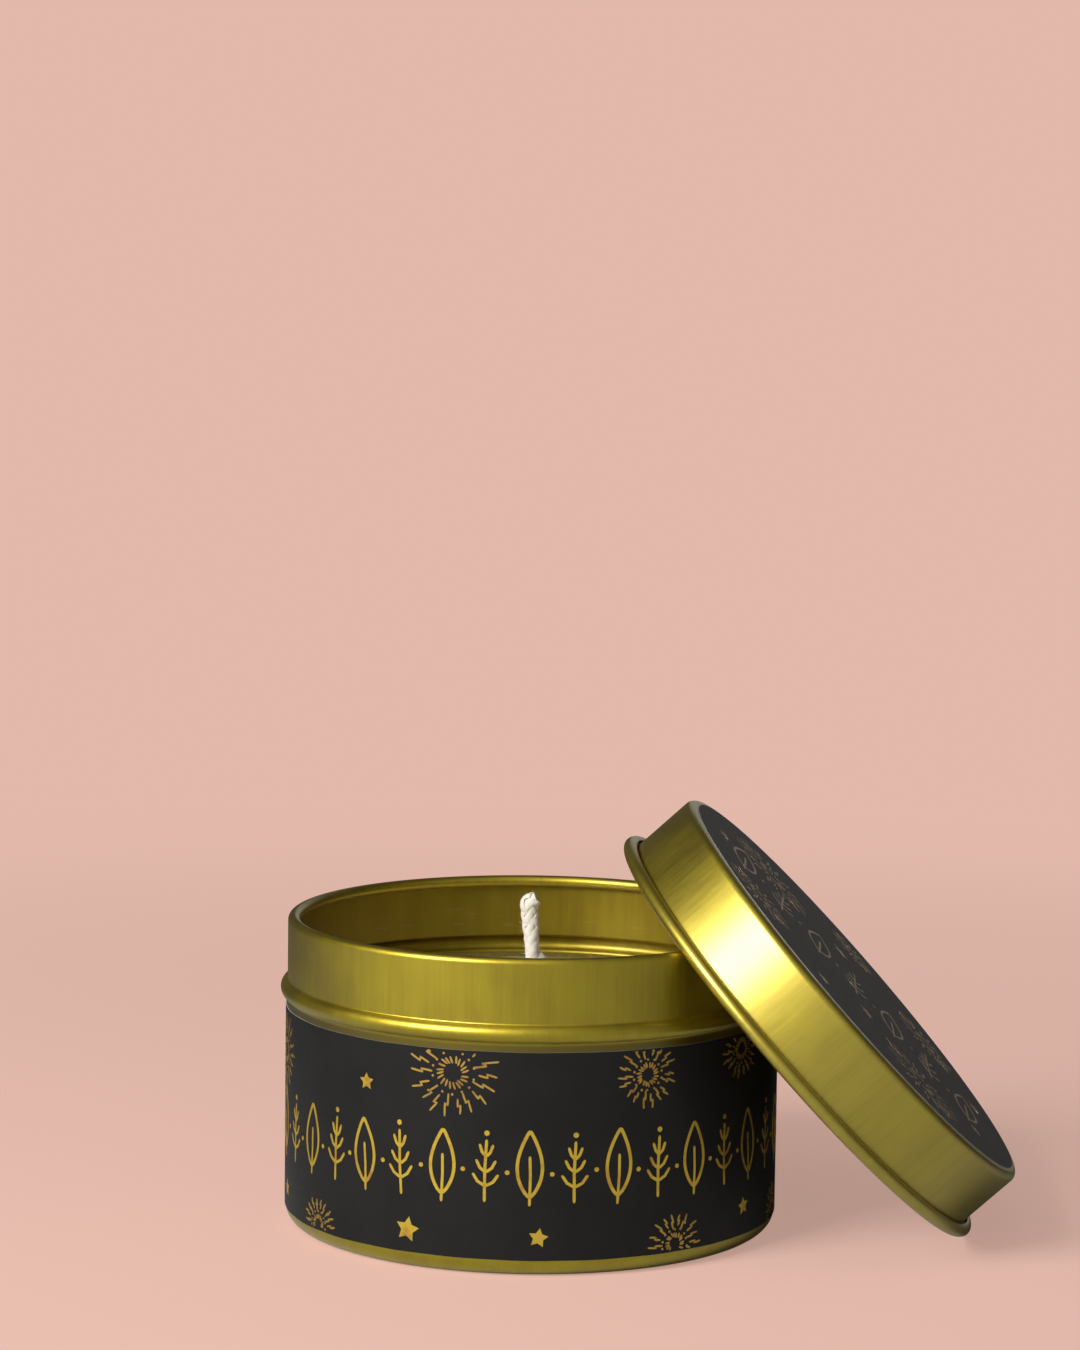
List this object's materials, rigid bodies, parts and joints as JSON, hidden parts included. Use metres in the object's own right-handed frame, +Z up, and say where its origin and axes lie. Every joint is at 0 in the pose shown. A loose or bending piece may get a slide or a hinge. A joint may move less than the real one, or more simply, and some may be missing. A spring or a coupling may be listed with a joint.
{
  "type": "candle tin",
  "caption": "Round seamless metal candle tin with a paper wrap label, wax and a bent wick, its push-on lid leaning on the rim.",
  "frame": {"origin": "on the tin's axis, on the plane of the foot ring that the tin stands on", "axes": "+Z up along the tin's axis; +X towards the side that the lid leans on; -Y is the front"},
  "size_m": [0.1122, 0.0795, 0.0645],
  "materials": {
    "gold_tinplate": "satin",
    "bare_tinplate": "satin",
    "label_paper": "matte",
    "base_paper": "matte",
    "core_paper": "matte",
    "wick_cotton": "matte",
    "wax": "satin",
    "foam": "matte"
  },
  "bodies": {
    "tin": {"tin_body": "gold_tinplate", "body_label": "label_paper", "base_label": "base_paper", "sustainer_pad": "foam", "wick_sustainer": "bare_tinplate", "wick_core": "core_paper", "wick_braid": "wick_cotton", "wax_fill": "wax"},
    "lid": {"lid_shell": "gold_tinplate", "lid_label": "label_paper"}
  },
  "joints": [
    {"name": "lid_lift", "type": "slide", "parent": "tin", "child": "lid", "axis": [0, 0, 1], "range_m": [0, 0.06]}
  ]
}
